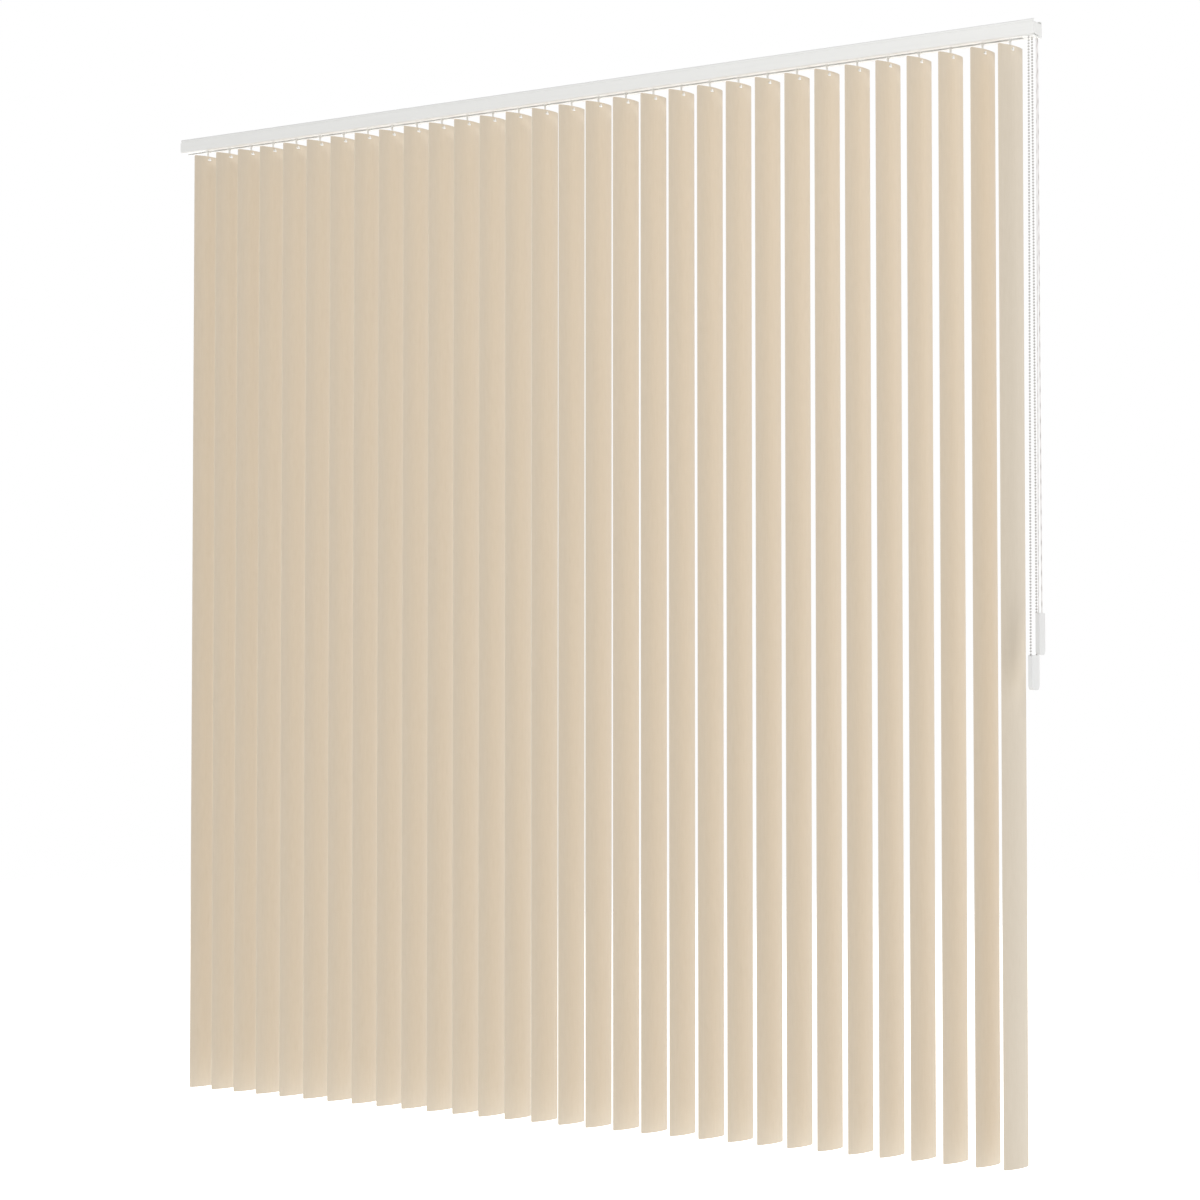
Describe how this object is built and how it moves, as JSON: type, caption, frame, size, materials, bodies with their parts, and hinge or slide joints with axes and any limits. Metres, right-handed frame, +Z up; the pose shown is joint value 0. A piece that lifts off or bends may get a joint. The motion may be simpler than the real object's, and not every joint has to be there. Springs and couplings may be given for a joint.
{
  "type": "vertical blind",
  "caption": "Vertical blind: slotted headrail with curved hanging vanes that tilt together by a rod and worm sleeves, a bead chain and a cord loop with hanging weights.",
  "frame": {"origin": "middle of the headrail's top face, in the ceiling plane", "axes": "+X along the headrail towards the controls, -Y towards the room, +Z up"},
  "size_m": [2.5864, 0.0858, 2.6625],
  "materials": {
    "vane_pvc": "embossed beige PVC",
    "painted_aluminium": "white powder coat",
    "white_plastic": "satin moulded",
    "bead_plastic": "glossy moulded",
    "rod_aluminium": "drawn",
    "spring_steel": "zinc plated",
    "cord_polyester": "braided"
  },
  "bodies": {
    "headrail": {"headrail": "painted_aluminium", "ceiling_clips": "spring_steel", "end_cap": "white_plastic", "control_housing": "white_plastic", "carriers": "white_plastic", "spacer_links": "spring_steel", "cord_clamp": "white_plastic", "bead_chain": "bead_plastic", "chain_weight": "white_plastic", "chain_weight_cover": "white_plastic", "guide_pulley_pin": "spring_steel", "return_pulley_pin": "spring_steel", "rail_cord": "cord_polyester", "traverse_cord": "cord_polyester", "cord_weight": "white_plastic", "cord_weight_cover": "white_plastic"},
    "tilt_drive": {"tilt_rod": "rod_aluminium", "worm_sleeves": "white_plastic", "chain_wheel": "white_plastic"},
    "guide_pulley_front": {"guide_pulley_front": "white_plastic"},
    "guide_pulley_back": {"guide_pulley_back": "white_plastic"},
    "return_pulley": {"return_pulley": "white_plastic"},
    "vane_01": {"vane_01": "vane_pvc"},
    "vane_02": {"vane_02": "vane_pvc"},
    "vane_03": {"vane_03": "vane_pvc"},
    "vane_04": {"vane_04": "vane_pvc"},
    "vane_05": {"vane_05": "vane_pvc"},
    "vane_06": {"vane_06": "vane_pvc"},
    "vane_07": {"vane_07": "vane_pvc"},
    "vane_08": {"vane_08": "vane_pvc"},
    "vane_09": {"vane_09": "vane_pvc"},
    "vane_10": {"vane_10": "vane_pvc"},
    "vane_11": {"vane_11": "vane_pvc"},
    "vane_12": {"vane_12": "vane_pvc"},
    "vane_13": {"vane_13": "vane_pvc"},
    "vane_14": {"vane_14": "vane_pvc"},
    "vane_15": {"vane_15": "vane_pvc"},
    "vane_16": {"vane_16": "vane_pvc"},
    "vane_17": {"vane_17": "vane_pvc"},
    "vane_18": {"vane_18": "vane_pvc"},
    "vane_19": {"vane_19": "vane_pvc"},
    "vane_20": {"vane_20": "vane_pvc"},
    "vane_21": {"vane_21": "vane_pvc"},
    "vane_22": {"vane_22": "vane_pvc"},
    "vane_23": {"vane_23": "vane_pvc"},
    "vane_24": {"vane_24": "vane_pvc"},
    "vane_25": {"vane_25": "vane_pvc"},
    "vane_26": {"vane_26": "vane_pvc"},
    "vane_27": {"vane_27": "vane_pvc"},
    "vane_28": {"vane_28": "vane_pvc"},
    "vane_29": {"vane_29": "vane_pvc"},
    "vane_30": {"vane_30": "vane_pvc"},
    "vane_31": {"vane_31": "vane_pvc"}
  },
  "joints": [
    {"name": "vane_01_tilt", "type": "hinge", "parent": "headrail", "child": "vane_01", "pos_m": [-1.21275, 0, -0.0525], "axis": [0, 0, 1], "range_deg": [-66, 98]},
    {"name": "vane_02_tilt", "type": "hinge", "parent": "headrail", "child": "vane_02", "pos_m": [-1.13425, 0, -0.0525], "axis": [0, 0, 1], "range_deg": [-66, 98]},
    {"name": "vane_03_tilt", "type": "hinge", "parent": "headrail", "child": "vane_03", "pos_m": [-1.05575, 0, -0.0525], "axis": [0, 0, 1], "range_deg": [-66, 98]},
    {"name": "vane_04_tilt", "type": "hinge", "parent": "headrail", "child": "vane_04", "pos_m": [-0.97725, 0, -0.0525], "axis": [0, 0, 1], "range_deg": [-66, 98]},
    {"name": "vane_05_tilt", "type": "hinge", "parent": "headrail", "child": "vane_05", "pos_m": [-0.89525, 0, -0.0525], "axis": [0, 0, 1], "range_deg": [-66, 98]},
    {"name": "vane_06_tilt", "type": "hinge", "parent": "headrail", "child": "vane_06", "pos_m": [-0.81325, 0, -0.0525], "axis": [0, 0, 1], "range_deg": [-66, 98]},
    {"name": "vane_07_tilt", "type": "hinge", "parent": "headrail", "child": "vane_07", "pos_m": [-0.73125, 0, -0.0525], "axis": [0, 0, 1], "range_deg": [-66, 98]},
    {"name": "vane_08_tilt", "type": "hinge", "parent": "headrail", "child": "vane_08", "pos_m": [-0.64925, 0, -0.0525], "axis": [0, 0, 1], "range_deg": [-66, 98]},
    {"name": "vane_09_tilt", "type": "hinge", "parent": "headrail", "child": "vane_09", "pos_m": [-0.56725, 0, -0.0525], "axis": [0, 0, 1], "range_deg": [-66, 98]},
    {"name": "vane_10_tilt", "type": "hinge", "parent": "headrail", "child": "vane_10", "pos_m": [-0.48525, 0, -0.0525], "axis": [0, 0, 1], "range_deg": [-66, 98]},
    {"name": "vane_11_tilt", "type": "hinge", "parent": "headrail", "child": "vane_11", "pos_m": [-0.40325, 0, -0.0525], "axis": [0, 0, 1], "range_deg": [-66, 98]},
    {"name": "vane_12_tilt", "type": "hinge", "parent": "headrail", "child": "vane_12", "pos_m": [-0.32125, 0, -0.0525], "axis": [0, 0, 1], "range_deg": [-66, 98]},
    {"name": "vane_13_tilt", "type": "hinge", "parent": "headrail", "child": "vane_13", "pos_m": [-0.23925, 0, -0.0525], "axis": [0, 0, 1], "range_deg": [-66, 98]},
    {"name": "vane_14_tilt", "type": "hinge", "parent": "headrail", "child": "vane_14", "pos_m": [-0.15725, 0, -0.0525], "axis": [0, 0, 1], "range_deg": [-66, 98]},
    {"name": "vane_15_tilt", "type": "hinge", "parent": "headrail", "child": "vane_15", "pos_m": [-0.07525, 0, -0.0525], "axis": [0, 0, 1], "range_deg": [-66, 98]},
    {"name": "vane_16_tilt", "type": "hinge", "parent": "headrail", "child": "vane_16", "pos_m": [0.00675, 0, -0.0525], "axis": [0, 0, 1], "range_deg": [-66, 98]},
    {"name": "vane_17_tilt", "type": "hinge", "parent": "headrail", "child": "vane_17", "pos_m": [0.08875, 0, -0.0525], "axis": [0, 0, 1], "range_deg": [-66, 98]},
    {"name": "vane_18_tilt", "type": "hinge", "parent": "headrail", "child": "vane_18", "pos_m": [0.17075, 0, -0.0525], "axis": [0, 0, 1], "range_deg": [-66, 98]},
    {"name": "vane_19_tilt", "type": "hinge", "parent": "headrail", "child": "vane_19", "pos_m": [0.25275, 0, -0.0525], "axis": [0, 0, 1], "range_deg": [-66, 98]},
    {"name": "vane_20_tilt", "type": "hinge", "parent": "headrail", "child": "vane_20", "pos_m": [0.33475, 0, -0.0525], "axis": [0, 0, 1], "range_deg": [-66, 98]},
    {"name": "vane_21_tilt", "type": "hinge", "parent": "headrail", "child": "vane_21", "pos_m": [0.41675, 0, -0.0525], "axis": [0, 0, 1], "range_deg": [-66, 98]},
    {"name": "vane_22_tilt", "type": "hinge", "parent": "headrail", "child": "vane_22", "pos_m": [0.49875, 0, -0.0525], "axis": [0, 0, 1], "range_deg": [-66, 98]},
    {"name": "vane_23_tilt", "type": "hinge", "parent": "headrail", "child": "vane_23", "pos_m": [0.58075, 0, -0.0525], "axis": [0, 0, 1], "range_deg": [-66, 98]},
    {"name": "vane_24_tilt", "type": "hinge", "parent": "headrail", "child": "vane_24", "pos_m": [0.66275, 0, -0.0525], "axis": [0, 0, 1], "range_deg": [-66, 98]},
    {"name": "vane_25_tilt", "type": "hinge", "parent": "headrail", "child": "vane_25", "pos_m": [0.74475, 0, -0.0525], "axis": [0, 0, 1], "range_deg": [-66, 98]},
    {"name": "vane_26_tilt", "type": "hinge", "parent": "headrail", "child": "vane_26", "pos_m": [0.82675, 0, -0.0525], "axis": [0, 0, 1], "range_deg": [-66, 98]},
    {"name": "vane_27_tilt", "type": "hinge", "parent": "headrail", "child": "vane_27", "pos_m": [0.90875, 0, -0.0525], "axis": [0, 0, 1], "range_deg": [-66, 98]},
    {"name": "vane_28_tilt", "type": "hinge", "parent": "headrail", "child": "vane_28", "pos_m": [0.99075, 0, -0.0525], "axis": [0, 0, 1], "range_deg": [-66, 98]},
    {"name": "vane_29_tilt", "type": "hinge", "parent": "headrail", "child": "vane_29", "pos_m": [1.07275, 0, -0.0525], "axis": [0, 0, 1], "range_deg": [-66, 98]},
    {"name": "vane_30_tilt", "type": "hinge", "parent": "headrail", "child": "vane_30", "pos_m": [1.15475, 0, -0.0525], "axis": [0, 0, 1], "range_deg": [-66, 98]},
    {"name": "vane_31_tilt", "type": "hinge", "parent": "headrail", "child": "vane_31", "pos_m": [1.22475, 0, -0.0525], "axis": [0, 0, 1], "range_deg": [-66, 98]},
    {"name": "tilt_rod_turn", "type": "hinge", "parent": "headrail", "child": "tilt_drive", "pos_m": [1.27825, -0.0075, -0.022], "axis": [1, 0, 0], "range_deg": [-528, 784]},
    {"name": "guide_pulley_front_turn", "type": "hinge", "parent": "headrail", "child": "guide_pulley_front", "pos_m": [1.28125, 0.009, -0.025], "axis": [0, 1, 0], "continuous": true},
    {"name": "guide_pulley_back_turn", "type": "hinge", "parent": "headrail", "child": "guide_pulley_back", "pos_m": [1.28125, 0.017, -0.025], "axis": [0, 1, 0], "continuous": true},
    {"name": "return_pulley_turn", "type": "hinge", "parent": "headrail", "child": "return_pulley", "pos_m": [-1.27325, 0.013, -0.02], "axis": [0, 0, 1], "continuous": true}
  ],
  "couplings": [
    {"joint": "vane_02_tilt", "follows": "vane_01_tilt", "ratio": 1},
    {"joint": "vane_03_tilt", "follows": "vane_01_tilt", "ratio": 1},
    {"joint": "vane_04_tilt", "follows": "vane_01_tilt", "ratio": 1},
    {"joint": "vane_05_tilt", "follows": "vane_01_tilt", "ratio": 1},
    {"joint": "vane_06_tilt", "follows": "vane_01_tilt", "ratio": 1},
    {"joint": "vane_07_tilt", "follows": "vane_01_tilt", "ratio": 1},
    {"joint": "vane_08_tilt", "follows": "vane_01_tilt", "ratio": 1},
    {"joint": "vane_09_tilt", "follows": "vane_01_tilt", "ratio": 1},
    {"joint": "vane_10_tilt", "follows": "vane_01_tilt", "ratio": 1},
    {"joint": "vane_11_tilt", "follows": "vane_01_tilt", "ratio": 1},
    {"joint": "vane_12_tilt", "follows": "vane_01_tilt", "ratio": 1},
    {"joint": "vane_13_tilt", "follows": "vane_01_tilt", "ratio": 1},
    {"joint": "vane_14_tilt", "follows": "vane_01_tilt", "ratio": 1},
    {"joint": "vane_15_tilt", "follows": "vane_01_tilt", "ratio": 1},
    {"joint": "vane_16_tilt", "follows": "vane_01_tilt", "ratio": 1},
    {"joint": "vane_17_tilt", "follows": "vane_01_tilt", "ratio": 1},
    {"joint": "vane_18_tilt", "follows": "vane_01_tilt", "ratio": 1},
    {"joint": "vane_19_tilt", "follows": "vane_01_tilt", "ratio": 1},
    {"joint": "vane_20_tilt", "follows": "vane_01_tilt", "ratio": 1},
    {"joint": "vane_21_tilt", "follows": "vane_01_tilt", "ratio": 1},
    {"joint": "vane_22_tilt", "follows": "vane_01_tilt", "ratio": 1},
    {"joint": "vane_23_tilt", "follows": "vane_01_tilt", "ratio": 1},
    {"joint": "vane_24_tilt", "follows": "vane_01_tilt", "ratio": 1},
    {"joint": "vane_25_tilt", "follows": "vane_01_tilt", "ratio": 1},
    {"joint": "vane_26_tilt", "follows": "vane_01_tilt", "ratio": 1},
    {"joint": "vane_27_tilt", "follows": "vane_01_tilt", "ratio": 1},
    {"joint": "vane_28_tilt", "follows": "vane_01_tilt", "ratio": 1},
    {"joint": "vane_29_tilt", "follows": "vane_01_tilt", "ratio": 1},
    {"joint": "vane_30_tilt", "follows": "vane_01_tilt", "ratio": 1},
    {"joint": "vane_31_tilt", "follows": "vane_01_tilt", "ratio": 1},
    {"joint": "tilt_rod_turn", "follows": "vane_01_tilt", "ratio": 8}
  ]
}
